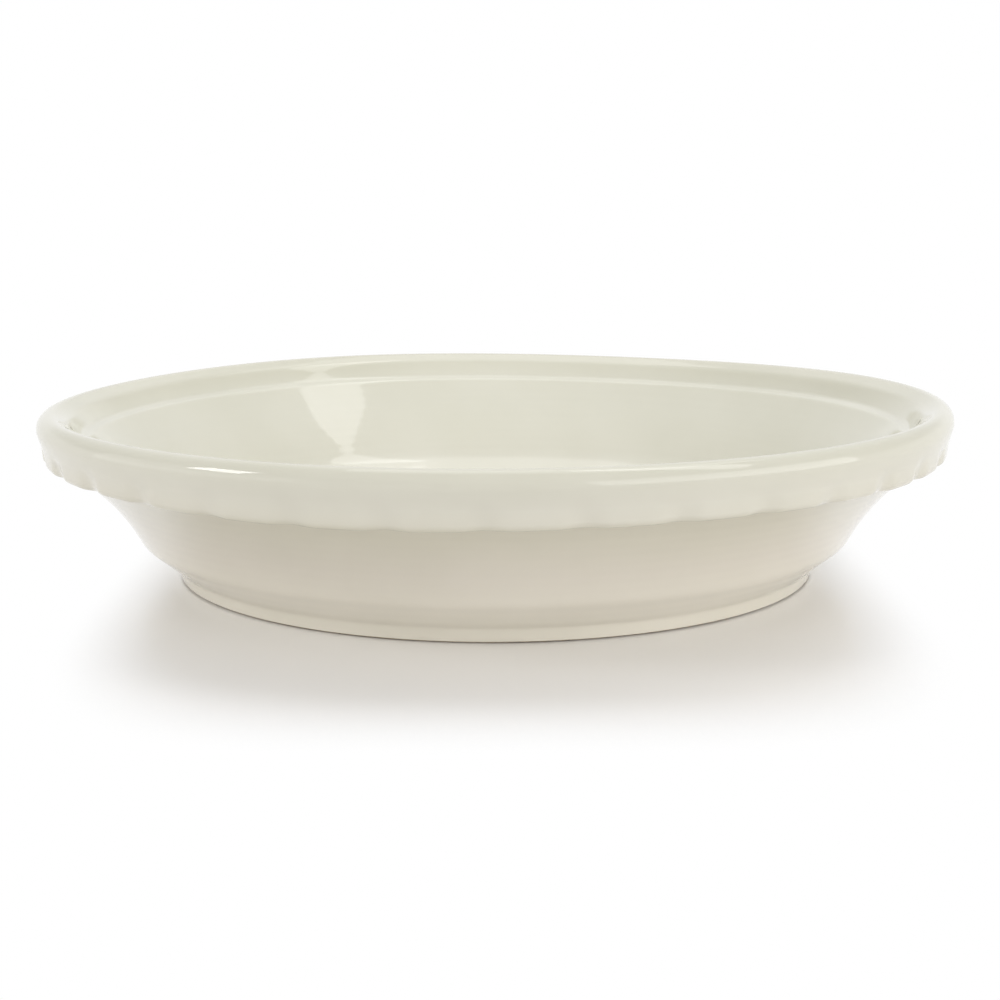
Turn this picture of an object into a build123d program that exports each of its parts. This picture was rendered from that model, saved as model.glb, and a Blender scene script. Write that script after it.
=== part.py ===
from build123d import *
import math
import os

# A round stoneware pie dish with a fluted rim, in millimetres.
# The axis of the dish is +Z, and it stands on z = 0.
# Radii and heights are those of the fired clay; the glaze coats lie on top of it.

# Foot ring
foot_radius = 93.0
foot_flare = 1.5
foot_width = 7.0
foot_inner_flare = 1.0
foot_height = 3.7
foot_edge_round = 0.9
foot_top_round = 0.5
groove_depth = 1.3
groove_height = 0.5

# Wall and floor
knee_overhang = 9.6
knee_rise = 8.6
knee_round = 6.0
wall_hollow = 2.94
bend_share = 0.45
outer_curve_share = 0.81
inner_curve_share = 0.49
wall_thickness = 4.6
floor_thickness = 4.2
inner_knee_round = 9.0
floor_round = 14.0
floor_corner_inset = 12.0

# Rim: a lip bead over a fluted band, with a rolled inner face and a ledge
dish_height = 50.15
lip_radius = 131.5
lip_flat = 1.4
lip_edge_round = 2.8
lip_inner_round = 3.0
bead_drop = 4.65
bead_round = 3.0
neck_drop = 9.15
neck_depth = 1.15
neck_round = 5.0
band_drop = 13.65
band_depth = 1.6
band_edge_round = 1.8
band_overhang = 5.2
underside_round = 1.0
roll_inset = 8.1
roll_drop = 3.05
roll_round = 3.5
crease_inset = 10.7
crease_drop = 8.25
crease_round = 0.8
shoulder_inset = 13.2
shoulder_drop = 9.25
shoulder_round = 2.5

# Flutes, pressed into the lower edge of the band
flute_count = 36
flute_radius = 6.5
flute_depth = 2.5
flute_rise = 5.4
first_flute_angle = -1.157

# Glaze
glaze_thickness = 0.4
bare_foot_height = 0.6

# How far cutting shapes run past what they cut
overrun = 20.0

band_radius = lip_radius - band_depth
band_height = dish_height - band_drop
wall_top = (band_radius - band_overhang, band_height)
crease = (lip_radius - crease_inset, dish_height - crease_drop)
floor_height = foot_height + floor_thickness
seam_radius = lip_radius - lip_edge_round - lip_flat / 2


def turn(start, end):
    """The direction from one point of the section to another, as an angle."""
    return math.atan2(end[1] - start[1], end[0] - start[0])


def midpoint(first, second):
    """The point half-way between two points of the section."""
    return ((first[0] + second[0]) / 2, (first[1] + second[1]) / 2)


def inside(point, before, after):
    """The corner of the inner face that lies one wall thickness inside an outer corner."""
    start = turn(before, point)
    end = turn(point, after)
    across = (start + end) / 2 + math.pi / 2
    reach = wall_thickness / math.cos((end - start) / 2)
    return (point[0] + reach * math.cos(across), point[1] + reach * math.sin(across))


def hollow(start, end):
    """The corner at which the wall's line bends between its two ends, a little above their straight line."""
    rise = turn(start, end)
    reach = math.dist(start, end) * bend_share
    return (
        start[0] + reach * math.cos(rise) - wall_hollow * math.sin(rise),
        start[1] + reach * math.sin(rise) + wall_hollow * math.cos(rise),
    )


def curve(before, corner, after, share):
    """The radius of an arc that takes up a share of a corner's shorter side."""
    side = min(math.dist(before, corner), math.dist(corner, after))
    half_turn = abs(turn(corner, after) - turn(before, corner)) / 2
    return side * share / math.tan(half_turn)


groove = (foot_radius + foot_flare - groove_depth, foot_height + groove_height)
knee = (foot_radius + foot_flare + knee_overhang, foot_height + knee_rise)
bend = hollow(knee, wall_top)
inner_knee = inside(knee, groove, bend)
inner_bend = inside(bend, knee, wall_top)
floor_corner = (inner_knee[0] - floor_corner_inset, floor_height)
shoulder = (lip_radius - shoulder_inset, dish_height - shoulder_drop)
outer_curve = curve(knee, bend, wall_top, outer_curve_share)
inner_curve = curve(inner_knee, inner_bend, shoulder, inner_curve_share)


def clay_section():
    """Half of the fired clay's cross-section, drawn with the radius as x and the height as y."""
    corners = [
        (0, foot_height, 0),
        (foot_radius - foot_width - foot_inner_flare, foot_height, 0),
        (foot_radius - foot_width, 0, foot_edge_round),
        (foot_radius, 0, foot_edge_round),
        (foot_radius + foot_flare, foot_height, foot_top_round),
        (groove[0], foot_height, 0),
        (*groove, 0),
        (*knee, knee_round),
        (*bend, outer_curve),
        (*wall_top, underside_round),
        (band_radius, band_height, band_edge_round),
        (lip_radius - neck_depth, dish_height - neck_drop, neck_round),
        (lip_radius, dish_height - bead_drop, bead_round),
        (lip_radius, dish_height, lip_edge_round),
        (lip_radius - lip_edge_round - lip_flat, dish_height, lip_inner_round),
        (lip_radius - roll_inset, dish_height - roll_drop, roll_round),
        (*crease, crease_round),
        (*shoulder, shoulder_round),
        (*inner_bend, inner_curve),
        (*inner_knee, inner_knee_round),
        (*floor_corner, floor_round),
        (0, floor_height, 0),
    ]
    points = [(radius, height) for radius, height, rounding in corners]
    roundings = [rounding for radius, height, rounding in corners]
    return make_face(FilletPolyline(*points, radius=roundings, close=True))


def area(*points):
    """A flat area of the section's drawing, used to divide it."""
    return make_face(Polyline(*points, close=True))


def rectangle(low, high):
    """An upright rectangle of the section's drawing, from its low inner corner to its high outer one."""
    return area(low, (high[0], low[1]), high, (low[0], high[1]))


def rim_area():
    """All that lies outside the joint between the wall and the rim."""
    slope = turn(wall_top, crease)
    reach = (overrun * math.cos(slope), overrun * math.sin(slope))
    low = (wall_top[0] - reach[0], wall_top[1] - reach[1])
    high = (crease[0] + reach[0], crease[1] + reach[1])
    edge = lip_radius + overrun
    top = dish_height + overrun
    return area(low, (edge, low[1]), (edge, top), (high[0], top), high)


def foot_area():
    """All that lies below the joint between the floor and the foot ring."""
    return rectangle((0, -overrun), (lip_radius + overrun, foot_height))


def outer_area():
    """All that lies outside and under the middle of the wall and floor."""
    floor_middle = foot_height + floor_thickness / 2
    foot_middle = foot_radius - foot_width / 2
    edge = lip_radius + overrun
    return area(
        (seam_radius, dish_height + overrun),
        (seam_radius, dish_height - lip_edge_round),
        midpoint(wall_top, crease),
        midpoint(bend, inner_bend),
        midpoint(knee, inner_knee),
        (foot_middle, floor_middle),
        (0, floor_middle),
        (0, -overrun),
        (edge, -overrun),
        (edge, dish_height + overrun),
    )


def base_area():
    """All that lies under the floor and inside the middle of the foot ring."""
    floor_middle = foot_height + floor_thickness / 2
    foot_middle = foot_radius - foot_width / 2
    return rectangle((0, -overrun), (foot_middle, floor_middle))


def glaze_section(clay):
    """The glaze on the clay's section, which stops short of the foot's bottom and of the axis."""
    bare_foot = rectangle((-overrun, -overrun), (lip_radius + overrun, bare_foot_height))
    past_axis = rectangle((-overrun, -overrun), (0, dish_height + overrun))
    return offset(clay, amount=glaze_thickness) - clay - bare_foot - past_axis


def spun(section):
    """A section turned round the dish's axis."""
    return revolve(Plane.XZ * section, Axis.Z)


def flute_tools(radius):
    """Round bars that lean outwards and cut one flute each, fading out up the band."""
    lean = math.atan2(flute_depth, flute_rise)
    skin_radius = band_radius + glaze_thickness
    skin_height = band_height - glaze_thickness
    axis_radius = skin_radius - flute_depth + flute_radius / math.cos(lean)
    length = 2 * overrun
    tools = []
    for index in range(flute_count):
        angle = first_flute_angle + index * 360 / flute_count
        place = Rot(0, 0, angle) * Pos(0, -axis_radius, skin_height) * Rot(math.degrees(lean), 0, 0)
        tools.append(place * Pos(0, 0, (length - overrun) / 2) * Cylinder(radius, length))
    return tools


def save(node, shape):
    """Writes one piece of the dish under its node's name."""
    shape.label = node
    export_step(shape, f"parts/{node}.step")


def main():
    """Builds the clay pieces and the glaze on them."""
    os.makedirs("parts", exist_ok=True)
    clay = clay_section()
    rim = clay & rim_area()
    foot = clay & foot_area()
    coat = glaze_section(clay)
    base_coat = coat & base_area()
    outer_coat = coat & outer_area()
    fluted_rim = spun(rim) - flute_tools(flute_radius + glaze_thickness)
    glazed_outside = spun(outer_coat - base_coat + rim) - flute_tools(flute_radius)
    save("dish_body", spun(clay - rim - foot))
    save("fluted_rim", fluted_rim)
    save("foot_ring", spun(foot))
    save("inner_glaze", spun(coat - outer_coat))
    save("outer_glaze", glazed_outside - fluted_rim)
    save("base_glaze", spun(base_coat))


main()
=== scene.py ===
import math

import bpy
from mathutils import Matrix, Quaternion, Vector


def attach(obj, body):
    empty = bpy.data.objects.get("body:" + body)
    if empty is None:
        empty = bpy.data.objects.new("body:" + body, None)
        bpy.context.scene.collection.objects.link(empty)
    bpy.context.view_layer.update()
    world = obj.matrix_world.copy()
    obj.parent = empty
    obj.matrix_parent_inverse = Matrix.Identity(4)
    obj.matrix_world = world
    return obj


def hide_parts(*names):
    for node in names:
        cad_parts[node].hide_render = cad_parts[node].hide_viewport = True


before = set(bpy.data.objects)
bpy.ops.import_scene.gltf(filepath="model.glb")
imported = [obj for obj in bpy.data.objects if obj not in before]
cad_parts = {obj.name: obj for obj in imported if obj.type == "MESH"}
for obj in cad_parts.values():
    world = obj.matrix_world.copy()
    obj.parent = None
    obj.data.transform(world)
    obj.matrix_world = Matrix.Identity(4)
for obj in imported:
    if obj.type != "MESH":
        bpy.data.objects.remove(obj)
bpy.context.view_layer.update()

# The foot ring. It is turned from the same buff stoneware as the dish, and stays bare on its bottom, which the
# potter wipes clean so that the glaze won't stick to the kiln shelf. The CAD's own ring is kept.


class Sock:
    """A socket of a material's nodes, so that shader maths can be written as Python expressions."""

    def __init__(self, tree, link):
        self.tree = tree
        self.link = link

    def node(self, kind, settings=(), out=0, **inputs):
        """Adds a node: its settings first, a ramp's stops among them, and then its sockets' values or links."""
        made = self.tree.nodes.new(kind)
        for name, value in dict(settings).items():
            if name != "stops":
                setattr(made, name, value)
                continue
            for count, (position, colour) in enumerate(value):
                stops = made.color_ramp.elements
                stop = stops[count] if count < 2 else stops.new(position)
                stop.position, stop.color = position, colour
        for name, value in inputs.items():
            key = int(name[1:]) if name[0] == "i" and name[1:].isdigit() else name.replace("_", " ")
            if isinstance(value, Sock):
                self.tree.links.new(value.link, made.inputs[key])
            else:
                made.inputs[key].default_value = value
        return Sock(self.tree, made.outputs[out])

    def maths(self, operation, *values):
        """A Math node on this value and others."""
        values = {f"i{place}": value for place, value in enumerate((self, *values))}
        return self.node("ShaderNodeMath", {"operation": operation}, **values)

    def __add__(self, other):
        return self.maths("ADD", other)

    def __radd__(self, other):
        return self.maths("ADD", other)

    def __sub__(self, other):
        return self.maths("SUBTRACT", other)

    def __rsub__(self, other):
        return self.maths("MULTIPLY", -1.0).maths("ADD", other)

    def __mul__(self, other):
        return self.maths("MULTIPLY", other)

    def __rmul__(self, other):
        return self.maths("MULTIPLY", other)

    def __truediv__(self, other):
        return self.maths("DIVIDE", other)

    def ramp(self, low, high):
        """0 below one value, 1 above the other, and smooth between them."""
        return self.node("ShaderNodeMapRange", {"interpolation_type": "SMOOTHSTEP"}, Value=self,
                         From_Min=low, From_Max=high)

    def noise(self, scale, detail=2.0, roughness=0.5):
        """A cloudy value from 0 to 1 over this place."""
        return self.node("ShaderNodeTexNoise", Vector=self, Scale=scale, Detail=detail, Roughness=roughness)

    def part(self, index):
        """One coordinate of this place."""
        return self.node("ShaderNodeSeparateXYZ", out=index, Vector=self)

    def blend(self, first, second):
        """A colour between two, by this value."""
        return self.node("ShaderNodeMix", {"data_type": "RGBA"}, out=2, i0=self, i6=first, i7=second)

    def times(self, colour):
        """This colour, tinted by another."""
        return self.node("ShaderNodeMix", {"data_type": "RGBA", "blend_type": "MULTIPLY"}, out=2,
                         i0=1.0, i6=self, i7=colour)

    def bump(self, strength, distance):
        """A normal that follows this height."""
        return self.node("ShaderNodeBump", Strength=strength, Distance=distance, Height=self)


def new_material(name):
    """A material and its shader, with the place on the piece that its patterns follow."""
    made = bpy.data.materials.new(name)
    made.use_nodes = True
    shader = made.node_tree.nodes["Principled BSDF"]
    start = made.node_tree.nodes.new("ShaderNodeTexCoord")
    return made, shader, Sock(made.node_tree, start.outputs["Object"])


def feed(shader, **sockets):
    """Sets or links the shader's sockets."""
    for name, value in sockets.items():
        socket = shader.inputs[name.replace("_", " ")]
        if isinstance(value, Sock):
            value.tree.links.new(value.link, socket)
        else:
            socket.default_value = value


MM = 0.001
CLAY_BUFF = (0.52, 0.43, 0.31, 1.0)
CLAY_PALE = (0.64, 0.56, 0.44, 1.0)
CLAY_SPECK = (0.26, 0.2, 0.14, 1.0)
CLAY_ROUGH, GRAIN_ROUGH, CLAY_IOR = 0.78, 0.12, 1.45

# Each noise by its scale, detail and roughness, and how much of it counts as a patch or as a speck.
CLAY_PATCHES, PATCH_EDGES = (60.0, 4.0), (0.35, 0.65)
CLAY_SPECKS, SPECK_EDGES = (900.0, 1.0), (0.68, 0.76)
CLAY_GRAIN, GRAIN_STRENGTH, GRAIN_DEPTH = (1600.0, 3.0, 0.6), 0.5, 0.15 * MM

stoneware, clay_shader, place = new_material("bare_stoneware")
clay_tone = place.noise(*CLAY_PATCHES).ramp(*PATCH_EDGES).blend(CLAY_BUFF, CLAY_PALE)
specks = place.noise(*CLAY_SPECKS).ramp(*SPECK_EDGES)
grain = place.noise(*CLAY_GRAIN)
feed(clay_shader, Base_Color=specks.blend(clay_tone, CLAY_SPECK), Roughness=CLAY_ROUGH + GRAIN_ROUGH * grain,
     Normal=grain.bump(GRAIN_STRENGTH, GRAIN_DEPTH), IOR=CLAY_IOR)

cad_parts["foot_ring"].data.materials.clear()
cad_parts["foot_ring"].data.materials.append(stoneware)

# The body and its fluted rim. They are one piece of clay: a sloping wall thrown on a flat floor, with a thick collar
# whose lip is rounded over, and 36 flutes pressed with a fingertip into the collar's lower edge while it is soft.
# Drying and firing pull the rim a little out of true, and the collar's edge sags a little left of the front.
FOOT_RADIUS, FOOT_FLARE, FOOT_INNER_FLARE, FOOT_WIDTH, FOOT_HEIGHT = 93.0, 1.5, 1.0, 7.0, 3.7
FLOOR_TOP = 7.9
LIP_RADIUS, DISH_HEIGHT = 131.5, 49.3
BAND_RADIUS, BAND_HEIGHT = 129.9, 36.5
WALL_TOP = (124.7, BAND_HEIGHT)
CREASE = (120.8, 41.9)
GROOVE_RADIUS, GROOVE_HEIGHT = 93.2, 4.2

# The flutes' number and first bearing, and each one's depth, lift of the edge, rise up the band and half width.
# Round one bearing they slip sideways, less and less over a reach to both sides.
FLUTES, FLUTE_START = 36, -1.157
FLUTE_DEPTH, FLUTE_LIFT, FLUTE_RISE, FLUTE_HALF_WIDTH = 1.1, 0.25, 7.0, 6.5
SLIP, SLIP_BEARING, SLIP_REACH = 4.2, 78.0, 30.0

# The sag of the collar's edge: how far, at which bearing, over what reach to both sides, and how far up it goes.
SAG, SAG_BEARING, SAG_REACH, SAG_RISE = 1.0, -15.0, 24.0, 6.0

# How far the rim leans up to the right, how far its back twists, and the spokes of a fine and a coarse mesh.
LEAN, TWIST = 0.48, 0.75
FINE, COARSE = 720, 240
SHARP_ANGLE = 50.0

# Half of the clay's section by its corners, each with a radius, a height and a rounding: from the axis under the
# floor, round the outside, over the lip and back to the axis on the floor.
CLAY = {
    "under the floor": (0.0, FOOT_HEIGHT, 0.0),
    "foot, inside top": (FOOT_RADIUS - FOOT_WIDTH - FOOT_INNER_FLARE, FOOT_HEIGHT, 0.5),
    "foot, inside bottom": (FOOT_RADIUS - FOOT_WIDTH, 0.0, 0.9),
    "foot, outside bottom": (FOOT_RADIUS, 0.0, 0.9),
    "foot, outside top": (FOOT_RADIUS + FOOT_FLARE, FOOT_HEIGHT, 0.5),
    "groove, bottom": (GROOVE_RADIUS, FOOT_HEIGHT, 0.2),
    "groove, top": (GROOVE_RADIUS, GROOVE_HEIGHT, 0.25),
    "knee": (104.1, 12.3, 6.0),
    "bend": (111.13, 25.1, 63.3),
    "wall top": (*WALL_TOP, 1.0),
    "band, bottom": (BAND_RADIUS, BAND_HEIGHT, 1.8),
    "neck": (130.35, 41.0, 5.0),
    "bead": (LIP_RADIUS, 45.3, 3.0),
    "lip, outside": (LIP_RADIUS, DISH_HEIGHT, 3.4),
    "lip, inside": (127.3, DISH_HEIGHT, 3.0),
    "roll": (123.4, 47.1, 3.5),
    "crease": (*CREASE, 0.8),
    "shoulder": (118.3, 40.9, 2.5),
    "inner bend": (107.51, 28.06, 71.9),
    "inner knee": (100.55, 15.39, 9.0),
    "floor's edge": (88.55, FLOOR_TOP, 14.0),
    "on the floor": (0.0, FLOOR_TOP, 0.0),
}


def section(corners, out=0.0, step=1.0, turn=0.16):
    """The line through the corners with each rounded off, moved outwards, in points not far apart."""
    line = []

    def run_to(point):
        """Fills the straight stretch up to the point."""
        if line:
            parts = max(1, math.ceil(math.dist(line[-1], point) / step))
            first = line[-1]
            for part in range(1, parts):
                share = part / parts
                line.append((first[0] + (point[0] - first[0]) * share, first[1] + (point[1] - first[1]) * share))
        line.append(point)

    for index, (radius, height, rounding) in enumerate(corners):
        if index in (0, len(corners) - 1):
            run_to((radius, height - out if index == 0 else height + out))
            continue
        before, corner, after = (Vector(corners[index + move][:2]) for move in (-1, 0, 1))
        start, end = (corner - before).normalized(), (after - corner).normalized()
        angle = math.atan2(start.cross(end), start.dot(end))
        side = math.copysign(1.0, angle)
        reach = rounding * math.tan(abs(angle) / 2)
        centre = corner - start * reach + Vector((-start.y, start.x)) * rounding * side
        away = rounding + out * side
        heading = math.atan2(-side * start.x, side * start.y)
        parts = max(2, math.ceil(abs(angle) / turn), math.ceil(abs(angle) * abs(away) / step))
        for part in range(parts + 1):
            bearing = heading + angle * part / parts
            point = (centre.x + away * math.cos(bearing), centre.y + away * math.sin(bearing))
            if part:
                line.append(point)
            else:
                run_to(point)
    return line


def smooth(value):
    """0 up to zero, 1 from one on, and soft between."""
    value = min(1.0, max(0.0, value))
    return value * value * (3.0 - 2.0 * value)


def swell(bearing, middle, reach):
    """1 at the middle bearing, and less and less to both sides."""
    return math.exp(-((bearing - middle) / reach) ** 2)


def pressed(radius, height, bearing):
    """Where a point of the section goes at a bearing, in degrees from the front towards the right."""
    bearing = (bearing + 180.0) % 360.0 - 180.0
    turn = math.radians(bearing)
    out = min(1.0, max(0.0, (radius - WALL_TOP[0]) / (BAND_RADIUS - WALL_TOP[0])))
    rise = height - BAND_HEIGHT
    slip = SLIP * swell(bearing, SLIP_BEARING, SLIP_REACH)
    pitch = 360.0 / FLUTES
    off = (bearing - FLUTE_START + slip + pitch / 2) % pitch - pitch / 2
    across = min(1.0, abs(math.radians(off)) * BAND_RADIUS / FLUTE_HALF_WIDTH)
    hollow = out * (1.0 + math.cos(math.pi * across)) / 2 * (1.0 - smooth(rise / FLUTE_RISE))
    sag = out * SAG * swell(bearing, SAG_BEARING, SAG_REACH) * (1.0 - smooth(rise / SAG_RISE))
    warp = LEAN * math.sin(turn) - TWIST * math.sin(3 * turn) * (1.0 - math.cos(turn)) / 2
    warp *= height / DISH_HEIGHT * (radius / LIP_RADIUS) ** 2
    return radius - FLUTE_DEPTH * hollow, height + FLUTE_LIFT * hollow - sag + warp


def turned(name, loop, material, node, spokes=FINE):
    """Turns a closed shell round the axis from a closed loop of the section, to replace the CAD's plain one."""
    points, faces = [], []
    on_axis = [index for index, (radius, _) in enumerate(loop) if radius < MM]
    first_of = []
    for index, (radius, height) in enumerate(loop):
        first_of.append(len(points))
        if index in on_axis:
            points.append((0.0, 0.0, height * MM))
            continue
        for spoke in range(spokes):
            bearing = 360.0 * spoke / spokes
            away, up = pressed(radius, height, bearing)
            turn = math.radians(bearing)
            points.append((away * math.sin(turn) * MM, -away * math.cos(turn) * MM, up * MM))
    for index in range(len(loop)):
        following = (index + 1) % len(loop)
        low, high = first_of[index], first_of[following]
        if index in on_axis and following in on_axis:
            continue
        for spoke in range(spokes):
            beside = (spoke + 1) % spokes
            if index in on_axis:
                faces.append((low, high + beside, high + spoke))
            elif following in on_axis:
                faces.append((low + spoke, low + beside, high))
            else:
                faces.append((low + spoke, low + beside, high + beside, high + spoke))
    mesh = bpy.data.meshes.new(name)
    mesh.from_pydata(points, [], faces)
    mesh.materials.append(material)
    mesh.shade_smooth()
    mesh.set_sharp_from_angle(angle=math.radians(SHARP_ANGLE))
    mesh.update()
    piece = bpy.data.objects.new(name, mesh)
    bpy.context.scene.collection.objects.link(piece)
    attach(piece, "root")
    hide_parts(node)


def stretch(line, start, end):
    """The part of a section's line from the point nearest one place to the point nearest another."""
    first, last = (min(range(len(line)), key=lambda index: math.dist(line[index], place)) for place in (start, end))
    return line[first:last + 1]


clay_line = section(list(CLAY.values()))
AXIS_BOTTOM, AXIS_TOP = (0.0, FOOT_HEIGHT), (0.0, FLOOR_TOP)
body_line = (stretch(clay_line, AXIS_BOTTOM, CLAY["foot, inside top"][:2])
             + stretch(clay_line, CLAY["groove, bottom"][:2], WALL_TOP)
             + stretch(clay_line, CREASE, AXIS_TOP))
turned("body_clay", body_line, stoneware, "dish_body", COARSE)
turned("rim_clay", stretch(clay_line, WALL_TOP, CREASE), stoneware, "fluted_rim")

# The glaze. A cream glaze covers the dish inside and out, a little under half a millimetre thick and fired glossy.
# It runs down from the lip, gathers in the creases and softens them, and stops just above the foot's bottom.
GLAZE = 0.4
SEAM = (128.0, DISH_HEIGHT)
BARE_FOOT = 0.6
FOOT_OUT = (FOOT_RADIUS + FOOT_FLARE * BARE_FOOT / FOOT_HEIGHT, BARE_FOOT)
FOOT_IN = (FOOT_RADIUS - FOOT_WIDTH - FOOT_INNER_FLARE * BARE_FOOT / FOOT_HEIGHT, BARE_FOOT)

# The glaze's skin follows the clay's corners, but fills the groove over the foot and rounds the creases more.
SKIN = {name: corner for name, corner in CLAY.items() if not name.startswith("groove")}
SKIN["foot, outside top"] = (94.3, GROOVE_HEIGHT, 3.0)
SKIN["wall top"] = (*WALL_TOP, 2.0)
SKIN["crease"] = (*CREASE, 2.8)
SKIN["band, bottom"] = (BAND_RADIUS, BAND_HEIGHT, 1.6)

# Its colour changes with the height on the dish, in metres. Only a little of that is the glaze's own colour, cooler
# on the
# band: the paler colour low on the walls, outside and in, is painted light, and the darker colour from under the
# band up to the lip is painted shade, darkest just under the band's overhang.
GLAZE_TOP = 0.05
# Outside: painted light low on the wall, painted shade just under the band and on the band and lip.
OUTSIDE_TONES_PAINTED_LIGHT = (
    (0.006, (0.88, 0.835, 0.725, 1.0)), (0.02, (0.792, 0.742, 0.644, 1.0)), (0.0315, (0.711, 0.674, 0.557, 1.0)),
    (0.0352, (0.68, 0.645, 0.53, 1.0)), (0.0375, (0.72, 0.69, 0.59, 1.0)), (0.041, (0.722, 0.697, 0.602, 1.0)),
    (0.0495, (0.689, 0.672, 0.569, 1.0)),
)
# Inside: painted light low in the bowl, painted shade towards the lip.
INSIDE_TONES_PAINTED_LIGHT = (
    (0.017, (0.795, 0.778, 0.678, 1.0)), (0.034, (0.745, 0.731, 0.634, 1.0)), (0.043, (0.735, 0.721, 0.621, 1.0)),
    (0.0495, (0.686, 0.669, 0.562, 1.0)),
)
CLOUD_DARK, CLOUD_PALE = (0.97, 0.97, 0.96, 1.0), (1.0, 1.0, 1.0, 1.0)
CLOUDS, CLOUD_EDGES = (30.0, 3.0), (0.3, 0.7)

# The gloss and its unevenness, and the rings' pitch, how far they stray from it, and the depth of the skin's relief.
GLOSS_ROUGH, RIPPLE_ROUGH, GLAZE_IOR = 0.035, 0.03, 1.5
RIPPLES, SWELLS = (120.0, 2.0), (70.0, 1.0)
RING_PITCH, RING_STRAY, STRAY_NOISE = 2.7 * MM, 2.0, (25.0, 1.0)
SKIN_STRENGTH, SKIN_DEPTH = 1.0, 0.02 * MM
RINGS_OUTSIDE, RINGS_INSIDE = 0.3, 0.25


def glaze(name, painted_light_tones, rings):
    """A glaze with a colour for each height, faint clouds, and a skin that shows the throwing rings under it. The
    colours by height hold painted light and painted shade as well as the glaze's own colour.
    """
    made, shader, place = new_material(name)
    height = place.part(2)
    share = height / GLAZE_TOP
    # The colour by height is partly painted light and painted shade.
    painted_light_tone = share.node("ShaderNodeValToRGB", {"stops": [(high / GLAZE_TOP, colour) for high, colour in painted_light_tones]},
                      Fac=share)
    clouds = place.noise(*CLOUDS).ramp(*CLOUD_EDGES).blend(CLOUD_DARK, CLOUD_PALE)
    wave = (height * (2 * math.pi / RING_PITCH) + RING_STRAY * place.noise(*STRAY_NOISE)).maths("SINE")
    skin = place.noise(*SWELLS) + rings * wave
    feed(shader, Base_Color=painted_light_tone.times(clouds), Roughness=GLOSS_ROUGH + RIPPLE_ROUGH * place.noise(*RIPPLES),
         Normal=skin.bump(SKIN_STRENGTH, SKIN_DEPTH), IOR=GLAZE_IOR)
    return made


glaze_out = glaze("cream_glaze_outside", OUTSIDE_TONES_PAINTED_LIGHT, RINGS_OUTSIDE)
glaze_in = glaze("cream_glaze_inside", INSIDE_TONES_PAINTED_LIGHT, RINGS_INSIDE)
skin_line = section(list(SKIN.values()), GLAZE)
for name, node, start, end, material in (
    ("glaze_under_floor", "base_glaze", AXIS_BOTTOM, FOOT_IN, glaze_out),
    ("glaze_outside", "outer_glaze", FOOT_OUT, SEAM, glaze_out),
    ("glaze_inside", "inner_glaze", SEAM, AXIS_TOP, glaze_in),
):
    coat = stretch(skin_line, start, end) + stretch(clay_line, start, end)[::-1]
    turned(name, coat, material, node)

# The camera stands where the photograph was taken: half a metre from the dish and a little above it.
EYE_DISTANCE, EYE_HEIGHT, EYE_TILT, EYE_ROLL = 0.4847, 0.11073, 0.1884, -0.003
FOCAL_PIXELS, AXIS_PIXEL, FRAME_PIXELS = 1639.85, 495.314, 1000.0
SENSOR_WIDTH = 36.0

lens = bpy.data.cameras.new("camera")
lens.sensor_width = SENSOR_WIDTH
lens.lens = FOCAL_PIXELS / FRAME_PIXELS * SENSOR_WIDTH
lens.shift_x = (FRAME_PIXELS / 2 - AXIS_PIXEL) / FRAME_PIXELS
camera = bpy.data.objects.new("camera", lens)
bpy.context.scene.collection.objects.link(camera)
camera.matrix_world = (Matrix.Translation((0.0, -EYE_DISTANCE, EYE_HEIGHT))
                       @ Matrix.Rotation(math.pi / 2 - EYE_TILT, 4, "X") @ Matrix.Rotation(EYE_ROLL, 4, "Z"))
bpy.context.scene.camera = camera

# The table is plain, white and glossy. It goes on out of sight, and away from the dish it fades into pure white, in
# a rounded oblong that is longer to the front and back.
TABLE_REACH = 4.0
TABLE_COLOUR, TABLE_ROUGH, TABLE_IOR = (0.9, 0.89, 0.89, 1.0), 0.2, 1.5
FADE_EDGES = (0.0865, 0.113)
FADE_CENTRE, FADE_STRETCH, FADE_POWER = 0.0018, 1.55, 4.0
WHITE = (1.0, 1.0, 1.0, 1.0)


def shown_rays(tree):
    """Two values: 1 for the camera's own rays, and 1 for those that a gloss or glass sends on."""
    rays = tree.nodes.new("ShaderNodeLightPath").outputs
    camera_ray, glossy_ray, through_ray = (
        Sock(tree, rays[name]) for name in ("Is Camera Ray", "Is Glossy Ray", "Is Transmission Ray"))
    return camera_ray, glossy_ray.maths("MAXIMUM", through_ray)


table_white, table_shader, place = new_material("white_table")
feed(table_shader, Base_Color=TABLE_COLOUR, Roughness=TABLE_ROUGH, IOR=TABLE_IOR)
sideways = (place.part(0) - FADE_CENTRE).maths("ABSOLUTE").maths("POWER", FADE_POWER)
endways = (place.part(1).maths("ABSOLUTE") / FADE_STRETCH).maths("POWER", FADE_POWER)
distance = (sideways + endways).maths("POWER", 1.0 / FADE_POWER)
straight, mirrored = shown_rays(place.tree)
fade = distance.ramp(*FADE_EDGES) * straight.maths("MAXIMUM", mirrored)
glow = fade.node("ShaderNodeEmission", Color=WHITE, Strength=1.0)
surface = Sock(place.tree, table_shader.outputs["BSDF"])
mixed = fade.node("ShaderNodeMixShader", i0=fade, i1=surface, i2=glow)
place.tree.links.new(mixed.link, place.tree.nodes["Material Output"].inputs["Surface"])
table_mesh = bpy.data.meshes.new("table")
table_mesh.from_pydata([(x * TABLE_REACH, y * TABLE_REACH, 0.0) for x, y in ((-1, -1), (1, -1), (1, 1), (-1, 1))],
                       [], [(0, 1, 2, 3)])
table_mesh.materials.append(table_white)
table = bpy.data.objects.new("table", table_mesh)
bpy.context.scene.collection.objects.link(table)

# The studio: a wide, low panel to each side, a small softbox on the left, a long oval one high on the right and one
# over the back, in a pale room with brighter walls behind and in front. Bearings go from the camera's side towards
# the right.


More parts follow.
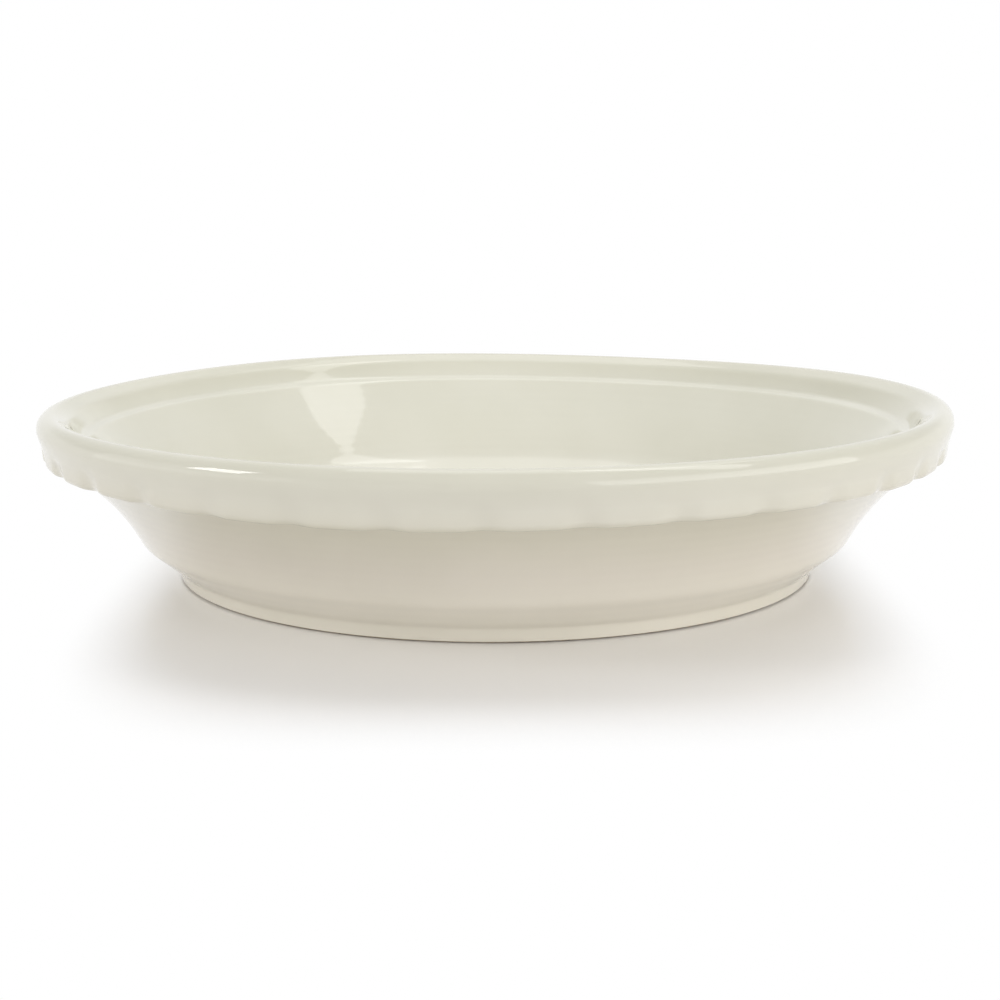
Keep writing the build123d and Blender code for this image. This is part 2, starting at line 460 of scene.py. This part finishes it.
def toward(bearing, elevation):
    """The direction of a bearing and an elevation in degrees."""
    turn, lift = math.radians(bearing), math.radians(elevation)
    return Vector((math.sin(turn) * math.cos(lift), -math.cos(turn) * math.cos(lift), math.sin(lift)))


LAMP_DISTANCE = 1.2
LAMP_AIM = Vector((0.0, 0.0, 0.03))
LAMPS = (
    # name, shape, bearing, elevation, width, height, turn, watts
    ("panel_right", "RECTANGLE", 56.0, 15.0, 1.6, 0.6, 0.0, 5.6),
    ("panel_left", "RECTANGLE", -75.0, 12.0, 1.4, 0.7, 0.0, 1.8),
    ("lamp_left", "RECTANGLE", -69.0, 30.5, 0.28, 0.28, 0.0, 2.1),
    ("lamp_right", "ELLIPSE", 96.5, 63.0, 1.2, 0.26, 36.5, 1.7),
    ("lamp_top", "RECTANGLE", 165.0, 70.0, 0.9, 0.7, 0.0, 1.8),
)
for name, shape, bearing, elevation, width, height, turn, watts in LAMPS:
    light = bpy.data.lights.new(name, "AREA")
    light.shape = shape
    light.size, light.size_y, light.energy = width, height, watts
    lamp = bpy.data.objects.new(name, light)
    bpy.context.scene.collection.objects.link(lamp)
    facing = toward(bearing, elevation)
    lamp.location = facing * LAMP_DISTANCE + LAMP_AIM
    lamp.rotation_mode = "QUATERNION"
    lamp.rotation_quaternion = facing.to_track_quat("Z", "Y") @ Quaternion((0.0, 0.0, 1.0), math.radians(turn))

# The room's own light, and the soft bright places on its walls. What shows below the backdrop's two heights, which
# are those of the direction's z, is pure white.
ROOM_LIGHT = 0.42
SCREEN_SPREAD = 6.0
SCREENS = (
    # bearing, elevation, strength
    (180.0, 38.0, 0.74), (0.0, 38.0, 0.56), (-60.0, 38.0, 0.1),
)
BACKDROP = (0.15, 0.35)

world = bpy.data.worlds.new("white_room")
bpy.context.scene.world = world
world.use_nodes = True
tree = world.node_tree
ahead = Sock(tree, tree.nodes.new("ShaderNodeTexCoord").outputs["Generated"])
room = ROOM_LIGHT
for bearing, elevation, strength in SCREENS:
    facing = ahead.node("ShaderNodeVectorMath", {"operation": "DOT_PRODUCT"}, out="Value",
                        i0=ahead, i1=toward(bearing, elevation))
    room = room + strength * ((facing - 1.0) * SCREEN_SPREAD).maths("EXPONENT")
straight, mirrored = shown_rays(tree)
shown = straight.maths("MAXIMUM", mirrored * (1.0 - ahead.part(2).ramp(*BACKDROP)))
feed(tree.nodes["Background"], Strength=room + shown * (1.0 - room), Color=WHITE)

bpy.context.scene.view_settings.view_transform = "Standard"
